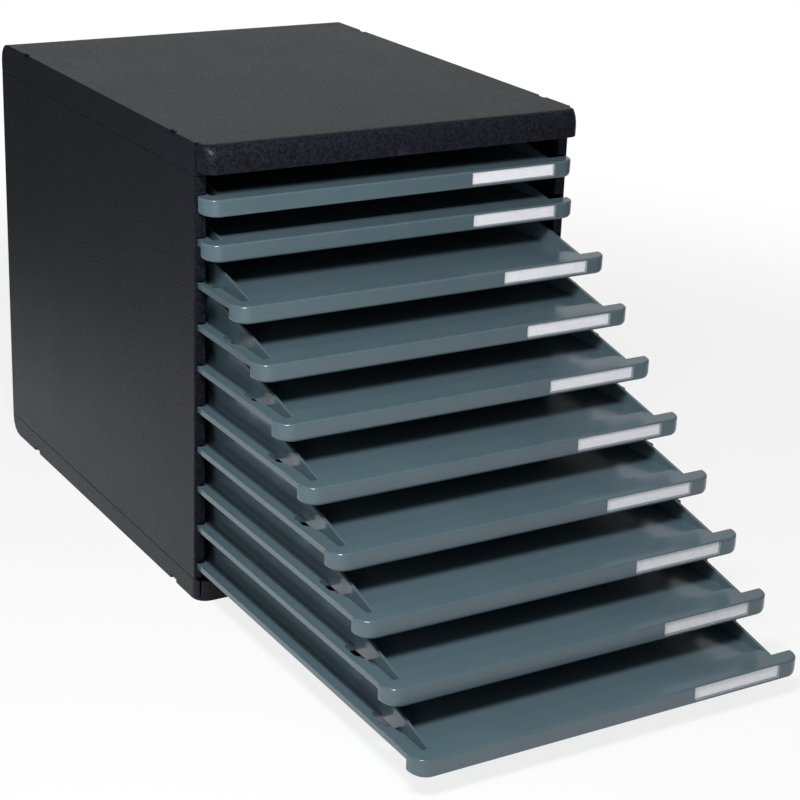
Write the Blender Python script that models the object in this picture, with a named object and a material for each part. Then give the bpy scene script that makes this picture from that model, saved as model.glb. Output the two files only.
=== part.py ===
"""Desktop file drawer: a moulded case with ten shallow trays that slide out at the front.

The case is a base and a cover, both shallow pans, held apart by two side panels with moulded
runners and by a back panel. Every tray hangs in the runners by a flange along each side, and
carries a label card behind a clear window in its fascia.

Metres, +Z up. The origin is the centre of the case where it stands on the table, and the
trays open towards -Y. The trays are drawn pulled out in a cascade, as on show.
"""

import math

import bmesh
import bpy
from mathutils import Vector

# Case
CASE_WIDTH = 0.288
CASE_DEPTH = 0.347
TRAY_COUNT = 10
TRAY_PITCH = 0.02864
SEAM = 0.0003
CUT_OVERRUN = 0.004

# Base and cover pans
BASE_HEIGHT = 0.015
BASE_REACH = 0.0065
BASE_CORNER_RADIUS = 0.010
COVER_HEIGHT = 0.022
LIP_HEIGHT = 0.0183
LIP_REACH = 0.0155
LIP_CORNER_RADIUS = 0.009
LIP_ROUND_DEPTH = 0.0085
LIP_ROUND_HEIGHT = 0.012
LIP_END_INSET = 0.0006
LIP_END_ROUND = 0.002
LIP_WALL = 0.003
PAN_WALL = 0.0026
PAN_PLATE = 0.003
PAN_REAR_RADIUS = 0.013
CLIP_LENGTH = 0.009
CLIP_DEPTH = 0.0020
CLIP_HEIGHT = 0.0024
CLIP_FROM_FRONT = 0.034
CLIP_FROM_REAR = 0.053

# Side panels
PANEL_THICKNESS = 0.008
PANEL_SKIN = 0.002
PANEL_EDGE_RADIUS = 0.001
PANEL_FRONT_STRIP = 0.003
PANEL_REAR_STRIP = 0.0025
RUNNER_RIB = 0.002
TONGUE_THICKNESS = 0.0025
TONGUE_LENGTH = 0.008

# Back panel
BACK_PLATE = 0.0022
BACK_FLANGE = 0.0020

# Trays
FASCIA_SIDE_GAP = 0.0013
FASCIA_DEPTH = 0.012
FASCIA_STANDOFF = 0.0023
FASCIA_HEIGHT = 0.0116
FASCIA_CORNER_RADIUS = 0.011
FASCIA_FOOT_RADIUS = 0.001
FASCIA_END_RADIUS = 0.003
FASCIA_TOP_RADIUS = 0.0014
LEDGE_DEPTH = 0.009
TRAY_SIDE_GAP = 0.0082
TRAY_WALL = 0.002
TRAY_FLOOR_TOP = 0.0086
TRAY_FLOOR = 0.0017
TRAY_HEADROOM = 0.0012
TRAY_REAR_CLEARANCE = 0.0015
RAMP_START_HEIGHT = 0.0107
RAMP_END_DEPTH = 0.094
TRAY_REAR_STEP = 0.0004
FLANGE_SIDE_GAP = 0.0007
FLANGE_TOP = 0.0104
FLANGE_REACH = 0.0078
FLANGE_PLATE = 0.0018
GUTTER_TOP = 0.0068
GUTTER_WEB = 0.0015
FLANGE_EDGE = 0.0016
FLANGE_EDGE_LOW = 0.0070
FLANGE_EDGE_HIGH = 0.0110
PAD_LENGTH = 0.031
PAD_WIDTH = 0.008
PAD_OVERHANG = 0.0003
RIGHT_FLANGE_START = 0.064
WELL_START = 0.048
WELL_LENGTH = 0.017
WELL_EDGE = 0.0048
WELL_CORNER_RADIUS = 0.0035
STOP_LENGTH = 0.006
STOP_WIDTH = 0.0035
STOP_HEIGHT = 0.0024
STOP_INSET = 0.0004
RUNNER_GAP = 0.0003
SLOT_CLEARANCE = 0.0006
TRAY_HOLD = 0.062

# Label: recess in the fascia, card and window
LABEL_RIGHT_MARGIN = 0.0181
RECESS_WIDTH = 0.0680
RECESS_DEPTH = 0.0023
RECESS_LOW = 0.0014
RECESS_HIGH = 0.0109
WINDOW_MARGIN = 0.0003
WINDOW_THICKNESS = 0.0009
WINDOW_SETBACK = 0.0003
CARD_MARGIN = 0.0009
CARD_THICKNESS = 0.0004

# How far each tray is drawn out of its whole travel, top tray first
EXTENSION_SHARES = (0.0, 0.0144, 0.1593, 0.266, 0.3716, 0.4937, 0.6196, 0.7411, 0.8572, 0.9772)

# Facets in a quarter turn
CORNER_STEPS = 6
EDGE_STEPS = 4

# What follows from the sizes above
CASE_HEIGHT = BASE_HEIGHT + TRAY_COUNT * TRAY_PITCH + LIP_HEIGHT
HALF_WIDTH = CASE_WIDTH / 2
FRONT = -CASE_DEPTH / 2
REAR = CASE_DEPTH / 2
FASCIA_WIDTH = CASE_WIDTH - 2 * FASCIA_SIDE_GAP
FLANGE_WIDTH = CASE_WIDTH - 2 * (PANEL_SKIN + FLANGE_SIDE_GAP)
TRAY_INNER_WIDTH = CASE_WIDTH - 2 * (PANEL_THICKNESS + TRAY_SIDE_GAP + TRAY_WALL)
TRAY_STROKE = CASE_DEPTH - TRAY_HOLD
PANEL_LOW = BASE_HEIGHT + SEAM
PANEL_HIGH = CASE_HEIGHT - COVER_HEIGHT - SEAM
BACK_SPACE = PANEL_REAR_STRIP + SEAM + BACK_FLANGE
TRAY_LENGTH = FASCIA_DEPTH + FASCIA_STANDOFF + CASE_DEPTH - BACK_SPACE - TRAY_REAR_CLEARANCE
TRAY_TOP = TRAY_PITCH - TRAY_HEADROOM
STOP_FRONT = FASCIA_DEPTH + FASCIA_STANDOFF + PANEL_FRONT_STRIP + SEAM + TRAY_STROKE
RUNNER_LOW = FLANGE_EDGE_LOW - RUNNER_GAP
SLOT_HIGH = FASCIA_HEIGHT + SLOT_CLEARANCE
RUNNER_HIGH = FLANGE_EDGE_HIGH + STOP_HEIGHT + SLOT_CLEARANCE


def tray_level(number):
    """Height of the underside of a tray's fascia; tray 1 is the top one."""
    return BASE_HEIGHT + SEAM + (TRAY_COUNT - number) * TRAY_PITCH


def clear_scene():
    for item in list(bpy.data.objects):
        bpy.data.objects.remove(item)


def plastic(name, color, roughness, alpha=1.0):
    """A Principled material in linear colour."""
    material = bpy.data.materials.new(name)
    material.use_nodes = True
    shader = material.node_tree.nodes["Principled BSDF"]
    shader.inputs["Base Color"].default_value = (*color, 1.0)
    shader.inputs["Roughness"].default_value = roughness
    shader.inputs["Metallic"].default_value = 0.0
    shader.inputs["Alpha"].default_value = alpha
    return material


def arc(centre, radii, start, end, steps):
    """Points from angle start to end, in degrees, on an ellipse round centre."""
    angles = [math.radians(start + (end - start) * step / steps) for step in range(steps + 1)]
    return [
        (centre[0] + radii[0] * math.cos(angle), centre[1] + radii[1] * math.sin(angle))
        for angle in angles
    ]


def prism(outline, start, end, axis):
    """A closed outline pushed along one axis; it is given in the other two axes, in order."""
    corner = {
        "X": lambda u, v: (start, u, v),
        "Y": lambda u, v: (u, start, v),
        "Z": lambda u, v: (u, v, start),
    }[axis]
    shape = bmesh.new()
    cap = shape.faces.new([shape.verts.new(corner(u, v)) for u, v in outline])
    pushed = bmesh.ops.extrude_face_region(shape, geom=[cap])["geom"]
    way = Vector([end - start if name == axis else 0.0 for name in "XYZ"])
    moved = [part for part in pushed if isinstance(part, bmesh.types.BMVert)]
    bmesh.ops.translate(shape, verts=moved, vec=way)
    bmesh.ops.recalc_face_normals(shape, faces=shape.faces[:])
    return shape


def block(low, high):
    """A box between two corners."""
    outline = [(low[0], low[1]), (high[0], low[1]), (high[0], high[1]), (low[0], high[1])]
    return prism(outline, low[2], high[2], "Z")


def joined(shapes):
    """Separate shapes held in one bmesh, for use as one cutter."""
    whole = bmesh.new()
    for shape in shapes:
        piece = bpy.data.meshes.new("piece")
        shape.to_mesh(piece)
        shape.free()
        whole.from_mesh(piece)
        bpy.data.meshes.remove(piece)
    return whole


def bevel_uprights(shape, chosen, radius, steps):
    """Rounds the upright edges whose two ends both pass the test."""
    edges = [
        edge
        for edge in shape.edges
        if all(chosen(vert.co) for vert in edge.verts)
        and edge.verts[0].co.xy == edge.verts[1].co.xy
    ]
    bmesh.ops.bevel(
        shape,
        geom=edges,
        offset=radius,
        segments=steps,
        profile=0.5,
        affect="EDGES",
        clamp_overlap=False,
    )
    return shape


def mirrored(shape):
    """The same shape on the other side of the case."""
    for vert in shape.verts:
        vert.co.x = -vert.co.x
    bmesh.ops.reverse_faces(shape, faces=shape.faces[:])
    return shape


def bar_outline(half_width, front, rear, radius, side_inset, front_inset):
    """Plan of a bar with two round front corners, drawn in at its ends and at its front."""
    turns = (radius - side_inset, radius - front_inset)
    side = half_width - side_inset
    left = arc((radius - half_width, front + radius), turns, 180, 270, CORNER_STEPS)
    right = arc((half_width - radius, front + radius), turns, 270, 360, CORNER_STEPS)
    return [(-side, rear), *left, *right, (side, rear)]


def bar(half_width, front, rear, radius, levels):
    """A bar lofted upwards through levels of (height, inset at its ends, inset at its front)."""
    shape = bmesh.new()
    rings = []
    for height, side_inset, front_inset in levels:
        outline = bar_outline(half_width, front, rear, radius, side_inset, front_inset)
        rings.append([shape.verts.new((x, y, height)) for x, y in outline])
    for lower, upper in zip(rings, rings[1:]):
        for index in range(len(lower)):
            after = (index + 1) % len(lower)
            shape.faces.new((lower[index], lower[after], upper[after], upper[index]))
    shape.faces.new(rings[0][::-1])
    shape.faces.new(rings[-1])
    bmesh.ops.recalc_face_normals(shape, faces=shape.faces[:])
    return shape


def temporary(shape):
    mesh = bpy.data.meshes.new("working")
    shape.to_mesh(mesh)
    shape.free()
    item = bpy.data.objects.new("working", mesh)
    bpy.context.scene.collection.objects.link(item)
    item.hide_render = True
    item.display_type = "WIRE"
    return item


def machined(name, shapes, cutters=()):
    """One mesh: the shapes joined, then the cutters taken out of it."""
    body, *others = [temporary(shape) for shape in shapes]
    tools = [temporary(shape) for shape in cutters]
    for other, operation in [(o, "UNION") for o in others] + [(t, "DIFFERENCE") for t in tools]:
        modifier = body.modifiers.new(operation.lower(), "BOOLEAN")
        modifier.operation = operation
        modifier.solver = "EXACT"
        modifier.object = other
    graph = bpy.context.evaluated_depsgraph_get()
    mesh = bpy.data.meshes.new_from_object(body.evaluated_get(graph))
    mesh.name = name
    for item in [body, *others, *tools]:
        bpy.data.objects.remove(item)
    mesh.shade_smooth()
    mesh.set_sharp_from_angle(angle=math.radians(35))
    return mesh


def place(name, mesh, material, parent, location=(0.0, 0.0, 0.0)):
    item = bpy.data.objects.new(name, mesh)
    bpy.context.scene.collection.objects.link(item)
    if not mesh.materials:
        mesh.materials.append(material)
    item.parent = parent
    item.location = location
    return item


def holder(name, location=(0.0, 0.0, 0.0)):
    """An empty that carries the pieces of one body."""
    item = bpy.data.objects.new(name, None)
    bpy.context.scene.collection.objects.link(item)
    item.location = location
    return item


def pan_profile(front, rear, depth, radius):
    """Side view of a pan as (y, distance from its flat outer face), round at the rear."""
    round_edge = arc((rear - radius, radius), (radius, radius), 270, 360, EDGE_STEPS)
    return [(front, 0.0), *round_edge, (rear, depth), (front, depth)]


def pan_shapes(front, depth, to_level):
    """A pan's outer block and the hollow to cut from it, turned by to_level up or down."""
    outer = pan_profile(front, REAR, depth, PAN_REAR_RADIUS)
    inner = pan_profile(
        front + PAN_WALL,
        REAR - PAN_WALL,
        depth - PAN_PLATE + CUT_OVERRUN,
        PAN_REAR_RADIUS - PAN_WALL,
    )
    shell = prism([(y, to_level(h)) for y, h in outer], -HALF_WIDTH, HALF_WIDTH, "X")
    inside = HALF_WIDTH - PAN_WALL
    hollow = prism([(y, to_level(h + PAN_PLATE)) for y, h in inner], -inside, inside, "X")
    return shell, hollow


def clip_notches(low, high):
    """Four notches in a pan's outer edges, where the side panels clip in."""
    shapes = []
    for side in (-1, 1):
        edges = sorted((side * (HALF_WIDTH - CLIP_DEPTH), side * (HALF_WIDTH + CUT_OVERRUN)))
        for middle in (FRONT + CLIP_FROM_FRONT, REAR - CLIP_FROM_REAR):
            corner = (edges[0], middle - CLIP_LENGTH / 2, low)
            shapes.append(block(corner, (edges[1], middle + CLIP_LENGTH / 2, high)))
    return joined(shapes)


def base_mesh():
    """A shallow pan, open upwards, that stands a little forward of the side panels."""
    front = FRONT - BASE_REACH
    shell, hollow = pan_shapes(front, BASE_HEIGHT, lambda height: height)
    middle = front + BASE_REACH / 2
    bevel_uprights(shell, lambda at: at.y < middle, BASE_CORNER_RADIUS, CORNER_STEPS)
    return machined("base", [shell], [hollow, clip_notches(-CUT_OVERRUN, CLIP_HEIGHT)])


def cover_mesh():
    """A pan turned over, with a hollow round-topped lip along its front."""
    shell, hollow = pan_shapes(FRONT, COVER_HEIGHT, lambda depth: CASE_HEIGHT - depth)
    lip_front = FRONT - LIP_REACH
    lip_low = CASE_HEIGHT - LIP_HEIGHT
    lip_rear = FRONT + PAN_WALL / 2
    turn = arc(
        (0.0, CASE_HEIGHT - LIP_ROUND_HEIGHT),
        (LIP_ROUND_DEPTH, LIP_ROUND_HEIGHT),
        0,
        90,
        CORNER_STEPS,
    )
    insets = [(height, LIP_ROUND_DEPTH - reach) for reach, height in turn]
    end_share = LIP_END_ROUND / LIP_ROUND_DEPTH
    levels = [(lip_low, 0.0, 0.0)]
    levels += [(height, inset * end_share, inset) for height, inset in insets]
    half_lip = HALF_WIDTH - LIP_END_INSET
    lip = bar(half_lip, lip_front, lip_rear, LIP_CORNER_RADIUS, levels)
    lip_hollow = [
        (lip_front + LIP_WALL, lip_low - CUT_OVERRUN),
        (lip_front + LIP_WALL, CASE_HEIGHT - LIP_ROUND_HEIGHT),
        (lip_front + LIP_ROUND_DEPTH, CASE_HEIGHT - PAN_PLATE - LIP_WALL / 2),
        (FRONT + PAN_WALL + LIP_WALL, CASE_HEIGHT - PAN_PLATE - LIP_WALL / 2),
        (FRONT + PAN_WALL + LIP_WALL, lip_low - CUT_OVERRUN),
    ]
    reach = HALF_WIDTH - LIP_CORNER_RADIUS
    scoop = prism(lip_hollow, -reach, reach, "X")
    notches = clip_notches(CASE_HEIGHT - CLIP_HEIGHT, CASE_HEIGHT + CUT_OVERRUN)
    return machined("top_cover", [shell, lip], [hollow, scoop, notches])


def panel_shapes():
    """The left panel before its runners are cut: a slab and the tongue that enters both pans."""
    slab = block((-HALF_WIDTH, FRONT, PANEL_LOW), (-HALF_WIDTH + PANEL_THICKNESS, REAR, PANEL_HIGH))
    near_skin = -HALF_WIDTH + PANEL_SKIN / 2
    bevel_uprights(
        slab,
        lambda at: at.x < near_skin and at.y < 0,
        PANEL_EDGE_RADIUS,
        EDGE_STEPS,
    )
    tongue_in = -HALF_WIDTH + PAN_WALL + SEAM
    tongue = block(
        (tongue_in, FRONT + PAN_WALL + SEAM, PANEL_LOW - TONGUE_LENGTH),
        (tongue_in + TONGUE_THICKNESS, REAR - PAN_REAR_RADIUS, PANEL_HIGH + TONGUE_LENGTH),
    )
    return [slab, tongue]


def runner_cutters():
    """Slots through the front strip, the runners and pockets behind it, and the back's slot."""
    inner = -HALF_WIDTH + PANEL_SKIN
    open_side = -HALF_WIDTH + PANEL_THICKNESS + CUT_OVERRUN
    behind_strip = FRONT + PANEL_FRONT_STRIP
    back_slot = REAR - BACK_SPACE - SEAM
    slots = []
    runners = []
    pocket_low = PANEL_LOW + RUNNER_RIB
    for number in range(TRAY_COUNT, 0, -1):
        level = tray_level(number)
        slots.append(
            block(
                (inner, FRONT - CUT_OVERRUN, level + RUNNER_LOW),
                (open_side, behind_strip + CUT_OVERRUN, level + SLOT_HIGH),
            )
        )
        pocket_high = level + RUNNER_LOW - RUNNER_RIB
        runners.append(
            block((inner, behind_strip, pocket_low), (open_side, back_slot, pocket_high))
        )
        runners.append(
            block(
                (inner, behind_strip, level + RUNNER_LOW),
                (open_side, back_slot, level + RUNNER_HIGH),
            )
        )
        pocket_low = level + RUNNER_HIGH + RUNNER_RIB
    runners.append(
        block((inner, behind_strip, pocket_low), (open_side, back_slot, PANEL_HIGH - RUNNER_RIB))
    )
    rear_slot = block(
        (inner, REAR - BACK_SPACE - SEAM, PANEL_LOW + RUNNER_RIB),
        (open_side, REAR - PANEL_REAR_STRIP, PANEL_HIGH - RUNNER_RIB),
    )
    return [joined(slots), joined(runners), rear_slot]


def side_panel_mesh(name, on_right):
    """A thin wall with a runner for each tray, closed at the front by a slotted strip."""
    shapes = panel_shapes()
    cutters = runner_cutters()
    if on_right:
        shapes = [mirrored(shape) for shape in shapes]
        cutters = [mirrored(cutter) for cutter in cutters]
    return machined(name, shapes, cutters)


def back_mesh():
    """A plate flush with the rear strips, whose wider flange locks behind them."""
    half_plate = HALF_WIDTH - PANEL_THICKNESS - SEAM
    half_flange = HALF_WIDTH - PANEL_SKIN - SEAM
    plate_low = PANEL_LOW
    plate_high = PANEL_HIGH
    flange_rear = REAR - PANEL_REAR_STRIP - SEAM
    plate = block(
        (-half_plate, flange_rear - BACK_FLANGE / 2, plate_low),
        (half_plate, flange_rear + BACK_PLATE, plate_high),
    )
    flange = block(
        (-half_flange, flange_rear - BACK_FLANGE, plate_low + RUNNER_RIB + SEAM),
        (half_flange, flange_rear, plate_high - RUNNER_RIB - SEAM),
    )
    return machined("back_panel", [plate, flange])


def tray_section():
    """Cross-section of a tray: floor, walls, and past a gutter the flange on each side."""
    wall_in = TRAY_INNER_WIDTH / 2
    wall_out = wall_in + TRAY_WALL
    edge_out = FLANGE_WIDTH / 2
    edge_in = edge_out - FLANGE_EDGE
    gutter_in = edge_out - FLANGE_REACH
    gutter_out = gutter_in + GUTTER_WEB
    right = [
        (wall_in, TRAY_FLOOR_TOP - TRAY_FLOOR),
        (wall_in, GUTTER_TOP - FLANGE_PLATE),
        (gutter_out, GUTTER_TOP - FLANGE_PLATE),
        (gutter_out, FLANGE_TOP - FLANGE_PLATE),
        (edge_in, FLANGE_TOP - FLANGE_PLATE),
        (edge_in, FLANGE_EDGE_LOW),
        (edge_out, FLANGE_EDGE_LOW),
        (edge_out, FLANGE_EDGE_HIGH),
        (edge_in, FLANGE_EDGE_HIGH),
        (edge_in, FLANGE_TOP),
        (gutter_in, FLANGE_TOP),
        (gutter_in, GUTTER_TOP),
        (wall_out, GUTTER_TOP),
        (wall_out, TRAY_TOP),
        (wall_in, TRAY_TOP),
        (wall_in, TRAY_FLOOR_TOP),
    ]
    return right + [(-x, z) for x, z in reversed(right)]


def round_inset(height, radius):
    """How far a face is drawn in, this high up the round edge at its foot."""
    short = max(0.0, radius - height)
    return radius - math.sqrt(radius**2 - short**2)


def fascia_shape():
    """The front bar, round in plan at both ends and along its lower and upper edges."""
    foot = arc((0.0, FASCIA_END_RADIUS), (FASCIA_END_RADIUS, FASCIA_END_RADIUS), 270, 360, EDGE_STEPS)
    brow = arc(
        (0.0, FASCIA_HEIGHT - FASCIA_TOP_RADIUS),
        (FASCIA_TOP_RADIUS, FASCIA_TOP_RADIUS),
        0,
        90,
        EDGE_STEPS,
    )
    levels = [
        (height, FASCIA_END_RADIUS - reach, round_inset(height, FASCIA_FOOT_RADIUS))
        for reach, height in foot
    ]
    insets = [(height, FASCIA_TOP_RADIUS - reach) for reach, height in brow]
    levels += [(height, inset, inset) for height, inset in insets]
    return bar(FASCIA_WIDTH / 2, 0.0, FASCIA_DEPTH, FASCIA_CORNER_RADIUS, levels)


def ramp_cutter():
    """What is taken off the walls so that they rise from the fascia to full height."""
    slope = (TRAY_TOP - RAMP_START_HEIGHT) / (RAMP_END_DEPTH - FASCIA_DEPTH)
    before = FASCIA_DEPTH - CUT_OVERRUN
    beyond = RAMP_END_DEPTH + CUT_OVERRUN / slope
    outline = [
        (before, RAMP_START_HEIGHT - CUT_OVERRUN * slope),
        (beyond, TRAY_TOP + CUT_OVERRUN),
        (before, TRAY_TOP + CUT_OVERRUN),
    ]
    reach = TRAY_INNER_WIDTH / 2 + TRAY_WALL + CUT_OVERRUN
    return prism(outline, -reach, reach, "X")


def flange_fittings():
    """The left flange's pad behind the fascia, and the stops near the rear that end the travel."""
    edge = FLANGE_WIDTH / 2
    pad = block(
        (-edge - PAD_OVERHANG, FASCIA_DEPTH - TRAY_WALL, FLANGE_TOP - FLANGE_PLATE / 2),
        (-edge - PAD_OVERHANG + PAD_WIDTH, FASCIA_DEPTH + PAD_LENGTH, FASCIA_HEIGHT),
    )
    shapes = [pad]
    for side in (-1, 1):
        stop = sorted((side * (edge - STOP_INSET - STOP_WIDTH), side * (edge - STOP_INSET)))
        shapes.append(
            block(
                (stop[0], STOP_FRONT, FLANGE_TOP - FLANGE_PLATE / 2),
                (stop[1], STOP_FRONT + STOP_LENGTH, FLANGE_EDGE_HIGH + STOP_HEIGHT),
            )
        )
    return shapes


def right_flange_cutter():
    """The right flange starts well behind the fascia; on the left it joins the fascia's end."""
    return block(
        (TRAY_INNER_WIDTH / 2 + TRAY_WALL, FASCIA_DEPTH, -CUT_OVERRUN),
        (FLANGE_WIDTH / 2 + CUT_OVERRUN, RIGHT_FLANGE_START, TRAY_TOP),
    )


def left_well_cutter():
    """The opening behind the left pad, between the tray's wall and the rim of its flange."""
    well = block(
        (-FLANGE_WIDTH / 2 + WELL_EDGE, WELL_START, -CUT_OVERRUN),
        (-TRAY_INNER_WIDTH / 2 - TRAY_WALL, WELL_START + WELL_LENGTH, TRAY_TOP),
    )
    rim = -FLANGE_WIDTH / 2 + WELL_EDGE + WELL_CORNER_RADIUS
    return bevel_uprights(well, lambda at: at.x < rim, WELL_CORNER_RADIUS, EDGE_STEPS)


def recess_right():
    """The end of the label recess near the right end of the fascia."""
    return FASCIA_WIDTH / 2 - LABEL_RIGHT_MARGIN


def tray_mesh():
    """A moulded tray, drawn from the lower front edge of its fascia backwards."""
    embedded = FASCIA_DEPTH - TRAY_WALL
    trough = prism(tray_section(), embedded, TRAY_LENGTH, "Y")
    half_inside = TRAY_INNER_WIDTH / 2 + TRAY_WALL / 2
    low = TRAY_FLOOR_TOP - TRAY_FLOOR / 2
    ledge = block(
        (-half_inside, embedded, low),
        (half_inside, FASCIA_DEPTH + LEDGE_DEPTH, FASCIA_HEIGHT),
    )
    rear = block(
        (-half_inside, TRAY_LENGTH - TRAY_WALL - TRAY_REAR_STEP, low),
        (half_inside, TRAY_LENGTH - TRAY_REAR_STEP, TRAY_TOP - TRAY_REAR_STEP),
    )
    recess = block(
        (recess_right() - RECESS_WIDTH, -CUT_OVERRUN, RECESS_LOW),
        (recess_right(), RECESS_DEPTH, RECESS_HIGH),
    )
    walls = machined("trough", [trough], [ramp_cutter(), right_flange_cutter(), left_well_cutter()])
    ramped = bmesh.new()
    ramped.from_mesh(walls)
    bpy.data.meshes.remove(walls)
    shapes = [fascia_shape(), ramped, ledge, rear, *flange_fittings()]
    return machined("tray", shapes, [recess])


def recess_plate(name, margin, front, thickness):
    """A thin plate that lies in the label recess with a margin round it."""
    low = (recess_right() - RECESS_WIDTH + margin, front, RECESS_LOW + margin)
    high = (recess_right() - margin, front + thickness, RECESS_HIGH - margin)
    return machined(name, [block(low, high)])


def build_case(material):
    case = holder("case")
    place("base", base_mesh(), material, case)
    place("top_cover", cover_mesh(), material, case)
    place("left_side_panel", side_panel_mesh("left_side_panel", False), material, case)
    place("right_side_panel", side_panel_mesh("right_side_panel", True), material, case)
    place("back_panel", back_mesh(), material, case)


def build_trays(tray_material, window_material, card_material):
    tray = tray_mesh()
    window = recess_plate("label_window", WINDOW_MARGIN, WINDOW_SETBACK, WINDOW_THICKNESS)
    card_front = WINDOW_SETBACK + WINDOW_THICKNESS + SEAM
    card = recess_plate("label_card", CARD_MARGIN, card_front, CARD_THICKNESS)
    for number in range(1, TRAY_COUNT + 1):
        closed = FRONT - FASCIA_STANDOFF - FASCIA_DEPTH
        out = TRAY_STROKE * EXTENSION_SHARES[number - 1]
        slide = holder(f"tray_slide_{number:02d}", (0.0, closed - out, tray_level(number)))
        place(f"tray_{number:02d}", tray, tray_material, slide)
        place(f"label_window_{number:02d}", window, window_material, slide)
        place(f"label_card_{number:02d}", card, card_material, slide)


def main():
    clear_scene()
    case_plastic = plastic("case_plastic", (0.012, 0.012, 0.013), 0.45)
    tray_plastic = plastic("tray_plastic", (0.075, 0.115, 0.135), 0.35)
    window_plastic = plastic("window_plastic", (0.9, 0.93, 0.95), 0.08, alpha=0.35)
    card_paper = plastic("card_paper", (0.82, 0.85, 0.87), 0.8)
    build_case(case_plastic)
    build_trays(tray_plastic, window_plastic, card_paper)


if __name__ == "__main__":
    main()
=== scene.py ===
"""Looks for a desktop file drawer: plastics, labels and rounded edges, and a studio round it."""

import math

import bpy
from bpy.props import FloatProperty, FloatVectorProperty, PointerProperty
from mathutils import Matrix, Vector

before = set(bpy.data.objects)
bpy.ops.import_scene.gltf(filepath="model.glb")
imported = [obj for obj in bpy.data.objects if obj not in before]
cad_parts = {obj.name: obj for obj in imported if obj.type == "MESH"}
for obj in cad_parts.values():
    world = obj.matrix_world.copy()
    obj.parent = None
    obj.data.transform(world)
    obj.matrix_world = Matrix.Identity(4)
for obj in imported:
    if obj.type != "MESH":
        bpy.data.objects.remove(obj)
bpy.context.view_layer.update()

bl_info = {
    "name": "File drawer looks",
    "version": (1, 0, 0),
    "blender": (4, 5, 0),
    "location": "3D View > Sidebar > File drawer",
    "description": "Finishes the desktop file drawer and sets up its studio",
    "category": "Object",
}

CASE_NODES = ("base", "top_cover", "left_side_panel", "right_side_panel", "back_panel")
TRAY_NODES = tuple(sorted(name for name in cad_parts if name.startswith("tray_")))
WINDOW_NODES = tuple(sorted(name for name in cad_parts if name.startswith("label_window_")))
CARD_NODES = tuple(sorted(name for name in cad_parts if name.startswith("label_card_")))

# Camera, as fitted to the straight edges of the case and trays
CAMERA_PLACE = (-0.6789, -1.3140, 0.6273)
CAMERA_AZIMUTH = -31.30
CAMERA_ELEVATION = 20.78
CAMERA_ROLL = 2.25
CAMERA_LENS = 91.56
SENSOR_WIDTH = 36.0

# Waves of a pattern to a metre, along each axis where it is drawn out
CASE_CLOUDS = 14.0
CASE_STREAKS = (60.0, 9.0, 160.0)
TRAY_CLOUDS = 22.0
TRAY_FLOW = (24.0, 6.0, 24.0)
TRAY_RUBS = 45.0
WINDOW_HAZE = 160.0
CARD_MOTTLE = 700.0
CARD_FIBRES = (900.0, 900.0, 4200.0)
FLOOR_CLOUDS = 3.0
NOISE_MIDDLE = 0.5

# Plastic of the case: steps of its patterns, tones as multiples of its colour, and swings of roughness
MOTTLE_TO_GRAIN = 0.45
SPECKLE_STEP = (0.36, 0.64)
SPECKLE_GRAIN_SHARE = 0.4
SPECKLE_MOTTLE_SHARE = 0.6
SPECKLE_TONES = (0.4, 1.7)
STREAK_STEP = (0.62, 0.74)
STREAK_CLOUD_STEP = (0.50, 0.62)
CASE_RUB_TONE = 4.0
CASE_RUB_SHARE = 0.35
CASE_RUB_ROUGHNESS = 0.06
CASE_CLOUD_SWING = 0.10
CASE_GRAIN_SWING = 0.30
CASE_MOTTLE_SWING = 0.40
GRAIN_HEIGHT = 0.5
MOTTLE_HEIGHT = 2.0
COAT_ROUGHNESS = 0.22

# Plastic of the trays, in the same terms
FLOW_TONES = (0.90, 1.10)
TRAY_RUB_STEP = (0.55, 0.95)
TRAY_RUB_TONE = 1.5
TRAY_RUB_SHARE = 0.12
TRAY_RUB_ROUGHNESS = 0.08
TRAY_CLOUD_SWING = 0.08
TRAY_FLOW_SWING = 0.08

# Clear strip and card of the labels, in the same terms, and the depth of the card's fibres in metres
WINDOW_SWING = 0.06
WINDOW_ALPHA = 0.16
WINDOW_HAZE_ALPHA = 0.08
CARD_TONES = (0.95, 1.04)
CARD_ROUGHNESS = 0.72
CARD_SWING = 0.2
FIBRE_DEPTH = 0.00003

# Rounding of the moulded edges, in metres and degrees
WELD_REACH = 0.000002
FLAT_ANGLE = 0.4
ROUNDED_ANGLE = 35.0
ROUNDED_SEGMENTS = 2
LARGE_FACE_WEIGHT = 100

# Floor: its half width, its paper, the painted shade that darkens it beyond the sides of the view, and
# how its shadow fades out with distance, in metres
FLOOR_REACH = 9.0
FAR_FLOOR_PAINTED_SHADE = 0.6
FLOOR_EVEN_SHARE = 0.97
FLOOR_CLOUD_SHARE = 0.03
FLOOR_ROUGHNESS = 0.9
FLOOR_GLOSS = 0.1
SHADOW_FADE = (0.5, 1.1)

# Level ways across the left and right sides of the view, and where along them the floor gets darker with
# painted shade, as a dim room beyond the lamps would leave it
LEFT_EDGE_WAY = (0.940, -0.341, 0.0)
LEFT_EDGE_STEP = (-0.50, -0.20)
RIGHT_EDGE_WAY = (0.755, -0.656, 0.0)
RIGHT_EDGE_STEP = (0.52, 0.97)

# Floor under the lowest tray that shows through its opening, and so keeps its full shadow
OPENING_BOX = ((-0.119, -0.395), (-0.095, -0.352))
OPENING_FADE = (0.0, 0.003)

# Pale wall behind the object: the way to it, and the cosines between which its light comes up
WALL_WAY = (0.520, 0.854, 0.0)
WALL_STEP = (0.65, 0.95)
WHITE = (1.0, 1.0, 1.0, 1.0)

# Lamps, which both face one point in the object
LAMP_TARGET = (0.0, -0.20, 0.15)
MAIN_LAMP_PLACE = (-0.42, -0.70, 0.86)
MAIN_LAMP_SIZE = (0.25, 0.22)
SIDE_LAMP_PLACE = (-1.1, -0.45, 0.45)
SIDE_LAMP_SIZE = (0.90, 0.60)


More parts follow.
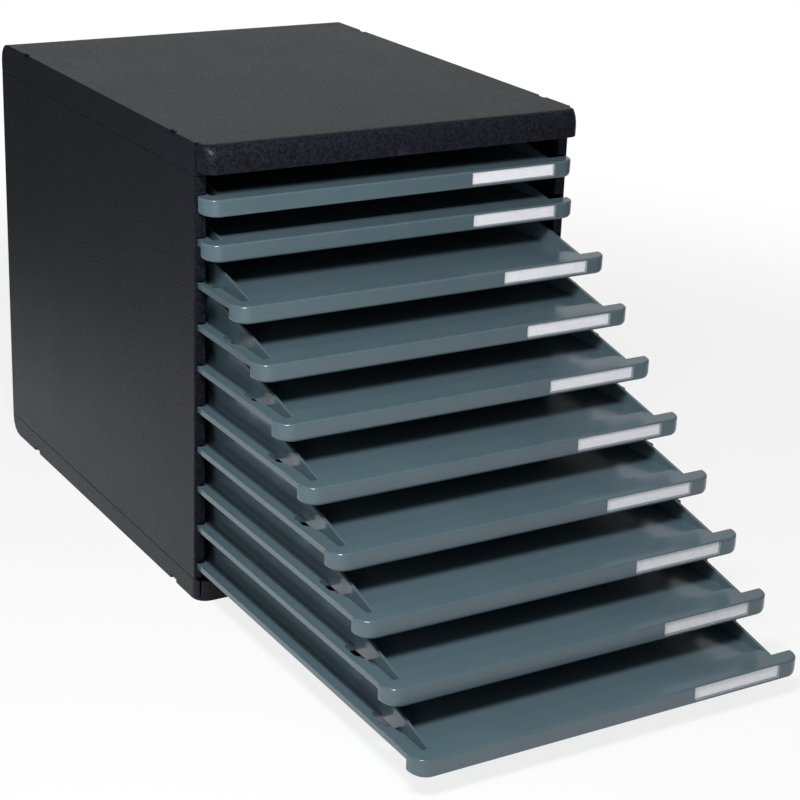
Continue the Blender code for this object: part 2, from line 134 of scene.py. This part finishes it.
class Value:
    """A socket in a material, used in a sum as a number is."""

    def __init__(self, finish, socket):
        self.finish = finish
        self.socket = socket

    def worked(self, operation, first, second):
        return self.finish.node("ShaderNodeMath", {"operation": operation}, {0: first, 1: second})

    def __add__(self, other):
        return self.worked("ADD", self, other)

    def __radd__(self, other):
        return self.worked("ADD", other, self)

    def __sub__(self, other):
        return self.worked("SUBTRACT", self, other)

    def __rsub__(self, other):
        return self.worked("SUBTRACT", other, self)

    def __mul__(self, other):
        return self.worked("MULTIPLY", self, other)

    def __rmul__(self, other):
        return self.worked("MULTIPLY", other, self)


class Finish:
    """The nodes of a material or of the world in the making."""

    def __init__(self, owner):
        self.owner = owner
        owner.use_nodes = True
        self.tree = owner.node_tree
        self.tree.nodes.clear()

    def node(self, kind, settings=None, inputs=None, output=0):
        """Adds a node: its settings first, then a value or a link for each of its sockets."""
        made = self.tree.nodes.new(kind)
        for name, value in (settings or {}).items():
            setattr(made, name, value)
        for name, value in (inputs or {}).items():
            if isinstance(value, Value):
                self.tree.links.new(value.socket, made.inputs[name])
            else:
                made.inputs[name].default_value = value
        return Value(self, made.outputs[output]) if made.outputs else None

    def place(self):
        """Where a point lies on the piece, in metres."""
        return self.node("ShaderNodeTexCoord", output="Object")

    def noise(self, place, scale, detail, roughness):
        inputs = {"Vector": place, "Scale": scale, "Detail": detail, "Roughness": roughness}
        return self.node("ShaderNodeTexNoise", None, inputs)

    def drawn_noise(self, place, scales, detail, roughness):
        """A noise with its own number of waves to a metre along each axis."""
        settings = {"operation": "MULTIPLY"}
        scaled = self.node("ShaderNodeVectorMath", settings, {0: place, 1: scales})
        return self.noise(scaled, 1.0, detail, roughness)

    def between(self, value, low, high):
        """0 below low, 1 above high, and a soft step between them."""
        settings = {"interpolation_type": "SMOOTHSTEP"}
        inputs = {"Value": value, "From Min": low, "From Max": high}
        return self.node("ShaderNodeMapRange", settings, inputs)

    def mixed(self, factor, first, second):
        inputs = {0: factor, 6: first, 7: second}
        return self.node("ShaderNodeMix", {"data_type": "RGBA"}, inputs, 2)

    def axis(self, vector, name):
        return self.node("ShaderNodeSeparateXYZ", None, {0: vector}, name)

    def along(self, vector, way):
        """How far a vector reaches in a way of length 1."""
        settings = {"operation": "DOT_PRODUCT"}
        return self.node("ShaderNodeVectorMath", settings, {0: vector, 1: way}, "Value")

    def outside(self, place, box):
        """How far a point lies to the side of a box, seen from above, and less than 0 within it."""
        gaps = []
        for name, low, high in zip("XY", *box):
            offset = self.axis(place, name) - (low + high) / 2
            reach = self.node("ShaderNodeMath", {"operation": "ABSOLUTE"}, {0: offset})
            gaps.append(reach - (high - low) / 2)
        return gaps[0].worked("MAXIMUM", *gaps)

    def light_path(self, kind):
        """1 for a ray of this kind, and 0 for any other."""
        return self.node("ShaderNodeLightPath", output=kind)

    def bump(self, height, distance=1.0):
        """A relief: the height times the distance is its depth in metres."""
        inputs = {"Height": height, "Distance": distance, "Strength": 1.0}
        return self.node("ShaderNodeBump", None, inputs)

    def surface(self, inputs):
        """Ends the material in a Principled shader with these inputs."""
        shader = self.node("ShaderNodeBsdfPrincipled", None, inputs)
        self.node("ShaderNodeOutputMaterial", None, {"Surface": shader})
        return self.owner


def shade_of(color, factor=1.0):
    return (color[0] * factor, color[1] * factor, color[2] * factor, 1.0)


def swing(noise, width):
    """A noise made to swing by half this width to either side of 0."""
    return (noise - NOISE_MIDDLE) * width


def case_plastic(look):
    """Black moulded plastic: a fine spark grain with a speckle, faint clouding and a few light rubs."""
    finish = Finish(bpy.data.materials.new("black_grained_plastic"))
    place = finish.place()
    grain = finish.noise(place, 1.0 / look.grain_size, detail=3.0, roughness=0.6)
    mottle = finish.noise(place, MOTTLE_TO_GRAIN / look.grain_size, detail=3.0, roughness=0.6)
    clouds = finish.noise(place, CASE_CLOUDS, detail=4.0, roughness=0.6)
    streaks = finish.drawn_noise(place, CASE_STREAKS, detail=3.0, roughness=0.55)
    rubs = finish.between(streaks, *STREAK_STEP) * finish.between(clouds, *STREAK_CLOUD_STEP)
    blend = grain * SPECKLE_GRAIN_SHARE + mottle * SPECKLE_MOTTLE_SHARE
    speckle = finish.between(blend, *SPECKLE_STEP)
    dark, light = SPECKLE_TONES
    tone = finish.mixed(speckle, shade_of(look.color, dark), shade_of(look.color, light))
    color = finish.mixed(rubs * CASE_RUB_SHARE, tone, shade_of(look.color, CASE_RUB_TONE))
    roughness = look.roughness + swing(clouds, CASE_CLOUD_SWING) + swing(grain, CASE_GRAIN_SWING)
    roughness = roughness + swing(mottle, CASE_MOTTLE_SWING) + rubs * CASE_RUB_ROUGHNESS
    height = (grain * GRAIN_HEIGHT + mottle * MOTTLE_HEIGHT) * look.grain_depth
    return finish.surface(
        {
            "Base Color": color,
            "Roughness": roughness,
            "Specular IOR Level": look.gloss,
            "Coat Weight": look.coat,
            "Coat Roughness": COAT_ROUGHNESS,
            "Normal": finish.bump(height),
        }
    )


def tray_plastic(look):
    """Slate plastic with a satin gloss, hardly grained, with flow marks and light wear."""
    finish = Finish(bpy.data.materials.new("slate_satin_plastic"))
    place = finish.place()
    clouds = finish.noise(place, TRAY_CLOUDS, detail=4.0, roughness=0.6)
    flow = finish.drawn_noise(place, TRAY_FLOW, detail=3.0, roughness=0.5)
    grain = finish.noise(place, 1.0 / look.grain_size, detail=2.0, roughness=0.5)
    rubs = finish.between(finish.noise(place, TRAY_RUBS, detail=3.0, roughness=0.5), *TRAY_RUB_STEP)
    dark, light = FLOW_TONES
    tone = finish.mixed(flow, shade_of(look.color, dark), shade_of(look.color, light))
    color = finish.mixed(rubs * TRAY_RUB_SHARE, tone, shade_of(look.color, TRAY_RUB_TONE))
    roughness = look.roughness + swing(clouds, TRAY_CLOUD_SWING) + swing(flow, TRAY_FLOW_SWING)
    return finish.surface(
        {
            "Base Color": color,
            "Roughness": roughness + rubs * TRAY_RUB_ROUGHNESS,
            "Specular IOR Level": look.gloss,
            "Normal": finish.bump(grain, look.grain_depth),
        }
    )


def window_plastic(look):
    """A thin clear strip, a little hazy, that shows the card behind it."""
    finish = Finish(bpy.data.materials.new("clear_label_strip"))
    place = finish.place()
    haze = finish.noise(place, WINDOW_HAZE, detail=3.0, roughness=0.6)
    return finish.surface(
        {
            "Base Color": shade_of(look.window_color),
            "Roughness": look.window_roughness + swing(haze, WINDOW_SWING),
            "Alpha": WINDOW_ALPHA + haze * WINDOW_HAZE_ALPHA,
        }
    )


def card_paper(look):
    """Blank card, with the faint mottling and fibres of uncoated paper."""
    finish = Finish(bpy.data.materials.new("white_card"))
    place = finish.place()
    mottle = finish.noise(place, CARD_MOTTLE, detail=4.0, roughness=0.7)
    fibres = finish.drawn_noise(place, CARD_FIBRES, detail=2.0, roughness=0.6)
    dark, light = CARD_TONES
    tone = finish.mixed(mottle, shade_of(look.card_color, dark), shade_of(look.card_color, light))
    return finish.surface(
        {
            "Base Color": tone,
            "Roughness": CARD_ROUGHNESS + swing(fibres, CARD_SWING),
            "Normal": finish.bump(fibres, FIBRE_DEPTH),
        }
    )


def smoothing():
    """A node group that shades a whole mesh smooth, so that the rounded edges carry the light."""
    group = bpy.data.node_groups.new("shade_smooth", "GeometryNodeTree")
    group.interface.new_socket("Geometry", in_out="INPUT", socket_type="NodeSocketGeometry")
    group.interface.new_socket("Geometry", in_out="OUTPUT", socket_type="NodeSocketGeometry")
    source = group.nodes.new("NodeGroupInput")
    edges = group.nodes.new("GeometryNodeSetShadeSmooth")
    edges.domain = "EDGE"
    faces = group.nodes.new("GeometryNodeSetShadeSmooth")
    faces.domain = "FACE"
    result = group.nodes.new("NodeGroupOutput")
    group.links.new(source.outputs[0], edges.inputs[0])
    group.links.new(edges.outputs[0], faces.inputs[0])
    group.links.new(faces.outputs[0], result.inputs[0])
    return group


def round_edges(piece, radius, group, clamped):
    """Rounds a moulding's sharp edges with modifiers, and leaves its own mesh as it is."""
    weld = piece.modifiers.new("weld", "WELD")
    weld.merge_threshold = WELD_REACH
    flat = piece.modifiers.new("flat_faces", "DECIMATE")
    flat.decimate_type = "DISSOLVE"
    flat.angle_limit = math.radians(FLAT_ANGLE)
    smooth = piece.modifiers.new("smooth", "NODES")
    smooth.node_group = group
    bevel = piece.modifiers.new("round_edges", "BEVEL")
    bevel.width = radius
    bevel.segments = ROUNDED_SEGMENTS
    bevel.limit_method = "ANGLE"
    bevel.angle_limit = math.radians(ROUNDED_ANGLE)
    bevel.use_clamp_overlap = clamped
    normals = piece.modifiers.new("normals", "WEIGHTED_NORMAL")
    normals.weight = LARGE_FACE_WEIGHT
    normals.keep_sharp = False


def finish_nodes(names, material, radius=0.0, group=None, clamped=False):
    """Gives nodes a material, and round edges where a radius is given."""
    for name in names:
        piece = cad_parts[name]
        for slot in piece.material_slots:
            slot.link = "OBJECT"
            slot.material = material
        if radius:
            round_edges(piece, radius, group, clamped)


class CaseLook(bpy.types.PropertyGroup):
    color: FloatVectorProperty(
        name="Colour",
        description="Colour of the case's plastic",
        subtype="COLOR",
        size=3,
        min=0.0,
        max=1.0,
        default=(0.0078, 0.0093, 0.0135),
    )
    roughness: FloatProperty(
        name="Roughness",
        description="Roughness of the case's plastic",
        subtype="FACTOR",
        min=0.0,
        max=1.0,
        default=0.38,
    )
    gloss: FloatProperty(
        name="Gloss",
        description="Strength of the reflections on the case",
        subtype="FACTOR",
        min=0.0,
        max=1.0,
        default=0.095,
    )
    coat: FloatProperty(
        name="Sheen",
        description="Share of a smooth skin over the grain, which carries the sharp highlights",
        subtype="FACTOR",
        min=0.0,
        max=1.0,
        default=0.07,
    )
    grain_size: FloatProperty(
        name="Grain size",
        description="Width of one grain of the moulded texture",
        unit="LENGTH",
        subtype="DISTANCE",
        precision=5,
        default=0.0009,
    )
    grain_depth: FloatProperty(
        name="Grain depth",
        description="Depth of the moulded texture",
        unit="LENGTH",
        subtype="DISTANCE",
        precision=5,
        default=0.00028,
    )
    edge_radius: FloatProperty(
        name="Edge radius",
        description="Radius of the case's moulded edges",
        unit="LENGTH",
        subtype="DISTANCE",
        precision=5,
        default=0.00025,
    )


class TrayLook(bpy.types.PropertyGroup):
    color: FloatVectorProperty(
        name="Colour",
        description="Colour of the trays' plastic",
        subtype="COLOR",
        size=3,
        min=0.0,
        max=1.0,
        default=(0.076, 0.118, 0.140),
    )
    roughness: FloatProperty(
        name="Roughness",
        description="Roughness of the trays' plastic",
        subtype="FACTOR",
        min=0.0,
        max=1.0,
        default=0.17,
    )
    gloss: FloatProperty(
        name="Gloss",
        description="Strength of the reflections on the trays",
        subtype="FACTOR",
        min=0.0,
        max=1.0,
        default=0.60,
    )
    grain_size: FloatProperty(
        name="Grain size",
        description="Width of one grain of the trays' texture",
        unit="LENGTH",
        subtype="DISTANCE",
        precision=5,
        default=0.0007,
    )
    grain_depth: FloatProperty(
        name="Grain depth",
        description="Depth of the trays' texture",
        unit="LENGTH",
        subtype="DISTANCE",
        precision=5,
        default=0.00002,
    )
    edge_radius: FloatProperty(
        name="Edge radius",
        description="Radius of the trays' moulded edges",
        unit="LENGTH",
        subtype="DISTANCE",
        precision=5,
        default=0.00015,
    )


class LabelLook(bpy.types.PropertyGroup):
    card_color: FloatVectorProperty(
        name="Card colour",
        description="Colour of the label cards",
        subtype="COLOR",
        size=3,
        min=0.0,
        max=1.0,
        default=(0.95, 0.96, 1.00),
    )
    window_color: FloatVectorProperty(
        name="Window colour",
        description="Tint of the clear strips",
        subtype="COLOR",
        size=3,
        min=0.0,
        max=1.0,
        default=(0.92, 0.94, 0.97),
    )
    window_roughness: FloatProperty(
        name="Window roughness",
        description="Roughness of the clear strips",
        subtype="FACTOR",
        min=0.0,
        max=1.0,
        default=0.12,
    )


class StageLook(bpy.types.PropertyGroup):
    floor_color: FloatVectorProperty(
        name="Floor colour",
        description="Colour of the floor",
        subtype="COLOR",
        size=3,
        min=0.0,
        max=1.0,
        default=(0.80, 0.80, 0.80),
    )
    near_white: FloatProperty(
        name="White near by",
        description="How much of the floor's shadow beside the object is whitened",
        subtype="FACTOR",
        min=0.0,
        max=1.0,
        default=0.82,
    )
    world_strength: FloatProperty(
        name="Room light",
        description="Strength of the light from all round",
        min=0.0,
        default=0.19,
    )
    wall_light: FloatProperty(
        name="Wall light",
        description="How many times the room light the pale wall behind the object adds to it",
        min=0.0,
        default=2.0,
    )
    key_power: FloatProperty(
        name="Main lamp",
        description="Power of the lamp high in front",
        unit="POWER",
        min=0.0,
        default=9.6,
    )
    side_power: FloatProperty(
        name="Side lamp",
        description="Power of the large weak lamp low on the left",
        unit="POWER",
        min=0.0,
        default=2.6,
    )


class FILEDRAWER_OT_case(bpy.types.Operator):
    """Finish the case's cover, base and panels in black grained plastic"""

    bl_idname = "file_drawer.finish_case"
    bl_label = "Finish the case"

    def execute(self, context):
        look = context.scene.case_look
        finish_nodes(CASE_NODES, case_plastic(look), look.edge_radius, smoothing(), clamped=True)
        return {"FINISHED"}


class FILEDRAWER_OT_trays(bpy.types.Operator):
    """Finish the ten trays in slate satin plastic"""

    bl_idname = "file_drawer.finish_trays"
    bl_label = "Finish the trays"

    def execute(self, context):
        look = context.scene.tray_look
        finish_nodes(TRAY_NODES, tray_plastic(look), look.edge_radius, smoothing())
        return {"FINISHED"}


class FILEDRAWER_OT_labels(bpy.types.Operator):
    """Finish the label windows and their blank cards"""

    bl_idname = "file_drawer.finish_labels"
    bl_label = "Finish the labels"

    def execute(self, context):
        look = context.scene.label_look
        finish_nodes(WINDOW_NODES, window_plastic(look))
        finish_nodes(CARD_NODES, card_paper(look))
        return {"FINISHED"}


def floor_finish(look):
    """Pale paper that turns white to the eye and keeps a soft shadow beside the object.

    Reflections see it white too where it is near, and farther off as paper painted grey, a painted shade
    standing in for the dim room.
    """
    finish = Finish(bpy.data.materials.new("pale_floor"))
    place = finish.place()
    clouds = finish.noise(place, FLOOR_CLOUDS, detail=2.0, roughness=0.5)
    left = finish.between(finish.along(place, LEFT_EDGE_WAY), *LEFT_EDGE_STEP)
    right = 1.0 - finish.between(finish.along(place, RIGHT_EDGE_WAY), *RIGHT_EDGE_STEP)
    near = left * right
    # Beyond the sides of the view the paper is painted darker: painted shade for the dim room, which the
    # case's sides reflect
    clear_of_painted_shade = near * (FLOOR_EVEN_SHARE + clouds * FLOOR_CLOUD_SHARE)
    tone = finish.mixed(clear_of_painted_shade, shade_of(look.floor_color, FAR_FLOOR_PAINTED_SHADE), shade_of(look.floor_color))
    rough = {"Base Color": tone, "Roughness": FLOOR_ROUGHNESS, "Specular IOR Level": FLOOR_GLOSS}
    paper = finish.node("ShaderNodeBsdfPrincipled", None, rough)
    white = finish.node("ShaderNodeEmission", None, {"Color": WHITE, "Strength": 1.0})
    mirrored = finish.light_path("Is Glossy Ray") + finish.light_path("Is Transmission Ray")
    seen = finish.light_path("Is Camera Ray") + mirrored * near
    away = finish.node("ShaderNodeVectorMath", {"operation": "LENGTH"}, {0: place}, "Value")
    plain = finish.between(away, *SHADOW_FADE) * (1.0 - look.near_white) + look.near_white
    beside = finish.between(finish.outside(place, OPENING_BOX), *OPENING_FADE)
    shader = finish.node("ShaderNodeMixShader", None, {0: seen * plain * beside, 1: paper, 2: white})
    finish.node("ShaderNodeOutputMaterial", None, {"Surface": shader})
    return finish.owner


def add_floor(look):
    reach = FLOOR_REACH
    corners = [(-reach, -reach, 0), (reach, -reach, 0), (reach, reach, 0), (-reach, reach, 0)]
    mesh = bpy.data.meshes.new("floor")
    mesh.from_pydata(corners, [], [(0, 1, 2, 3)])
    mesh.materials.append(floor_finish(look))
    floor = bpy.data.objects.new("floor", mesh)
    bpy.context.scene.collection.objects.link(floor)


def studio_world(look):
    """Even light from all round, brighter from the pale wall behind the object."""
    finish = Finish(bpy.data.worlds.new("studio"))
    way = finish.node("ShaderNodeTexCoord", output="Generated")
    behind = finish.along(way, WALL_WAY)
    strength = look.world_strength * (1.0 + finish.between(behind, *WALL_STEP) * look.wall_light)
    backdrop = finish.node("ShaderNodeBackground", None, {"Color": WHITE, "Strength": strength})
    finish.node("ShaderNodeOutputWorld", None, {"Surface": backdrop})
    return finish.owner


def add_lamp(name, place, size, power):
    """Adds a lamp of this width and height, which faces the object and which the camera doesn't see."""
    light = bpy.data.lights.new(name, "AREA")
    light.shape = "RECTANGLE"
    light.size, light.size_y = size
    light.energy = power
    lamp = bpy.data.objects.new(name, light)
    lamp.visible_camera = False
    bpy.context.scene.collection.objects.link(lamp)
    way = Vector(LAMP_TARGET) - Vector(place)
    lamp.matrix_world = Matrix.LocRotScale(Vector(place), way.to_track_quat("-Z", "Y"), None)
    return lamp


def add_camera():
    """Adds the camera, turned about the upright axis, raised, and then rolled about its own axis."""
    azimuth = math.radians(CAMERA_AZIMUTH)
    elevation = math.radians(CAMERA_ELEVATION)
    roll = math.radians(CAMERA_ROLL)
    back = Vector(
        (
            math.sin(azimuth) * math.cos(elevation),
            -math.cos(azimuth) * math.cos(elevation),
            math.sin(elevation),
        )
    )
    level = (-back).cross(Vector((0, 0, 1))).normalized()
    upright = back.cross(level)
    across = math.cos(roll) * level + math.sin(roll) * upright
    up = -math.sin(roll) * level + math.cos(roll) * upright
    turn = Matrix((across, up, back)).transposed()
    data = bpy.data.cameras.new("camera")
    data.sensor_width = SENSOR_WIDTH
    data.lens = CAMERA_LENS
    camera = bpy.data.objects.new("camera", data)
    bpy.context.scene.collection.objects.link(camera)
    camera.matrix_world = Matrix.Translation(CAMERA_PLACE) @ turn.to_4x4()
    bpy.context.scene.camera = camera


class FILEDRAWER_OT_stage(bpy.types.Operator):
    """Set up the floor, the lamps and the camera"""

    bl_idname = "file_drawer.set_stage"
    bl_label = "Set the stage"

    def execute(self, context):
        look = context.scene.stage_look
        add_floor(look)
        context.scene.world = studio_world(look)
        add_lamp("main_lamp", MAIN_LAMP_PLACE, MAIN_LAMP_SIZE, look.key_power)
        side_lamp = add_lamp("side_lamp", SIDE_LAMP_PLACE, SIDE_LAMP_SIZE, look.side_power)
        side_lamp.visible_glossy = False
        context.scene.view_settings.view_transform = "Standard"
        add_camera()
        return {"FINISHED"}


class FILEDRAWER_PT_looks(bpy.types.Panel):
    """Sizes, colours and steps of the file drawer's looks"""

    bl_idname = "FILEDRAWER_PT_looks"
    bl_label = "File drawer"
    bl_space_type = "VIEW_3D"
    bl_region_type = "UI"
    bl_category = "File drawer"

    def draw(self, context):
        for group, _, step in LOOKS:
            box = self.layout.box()
            look = getattr(context.scene, group)
            for name in look.__annotations__:
                box.prop(look, name)
            box.operator(step)


LOOKS = (
    ("case_look", CaseLook, "file_drawer.finish_case"),
    ("tray_look", TrayLook, "file_drawer.finish_trays"),
    ("label_look", LabelLook, "file_drawer.finish_labels"),
    ("stage_look", StageLook, "file_drawer.set_stage"),
)
CLASSES = (
    CaseLook,
    TrayLook,
    LabelLook,
    StageLook,
    FILEDRAWER_OT_case,
    FILEDRAWER_OT_trays,
    FILEDRAWER_OT_labels,
    FILEDRAWER_OT_stage,
    FILEDRAWER_PT_looks,
)


def register():
    for kind in CLASSES:
        bpy.utils.register_class(kind)
    for name, kind, _ in LOOKS:
        setattr(bpy.types.Scene, name, PointerProperty(type=kind))


def unregister():
    for name, *_ in LOOKS:
        delattr(bpy.types.Scene, name)
    for kind in reversed(CLASSES):
        bpy.utils.unregister_class(kind)


def main():
    register()
    bpy.ops.file_drawer.finish_case()
    bpy.ops.file_drawer.finish_trays()
    bpy.ops.file_drawer.finish_labels()
    bpy.ops.file_drawer.set_stage()


if __name__ == "__main__":
    main()
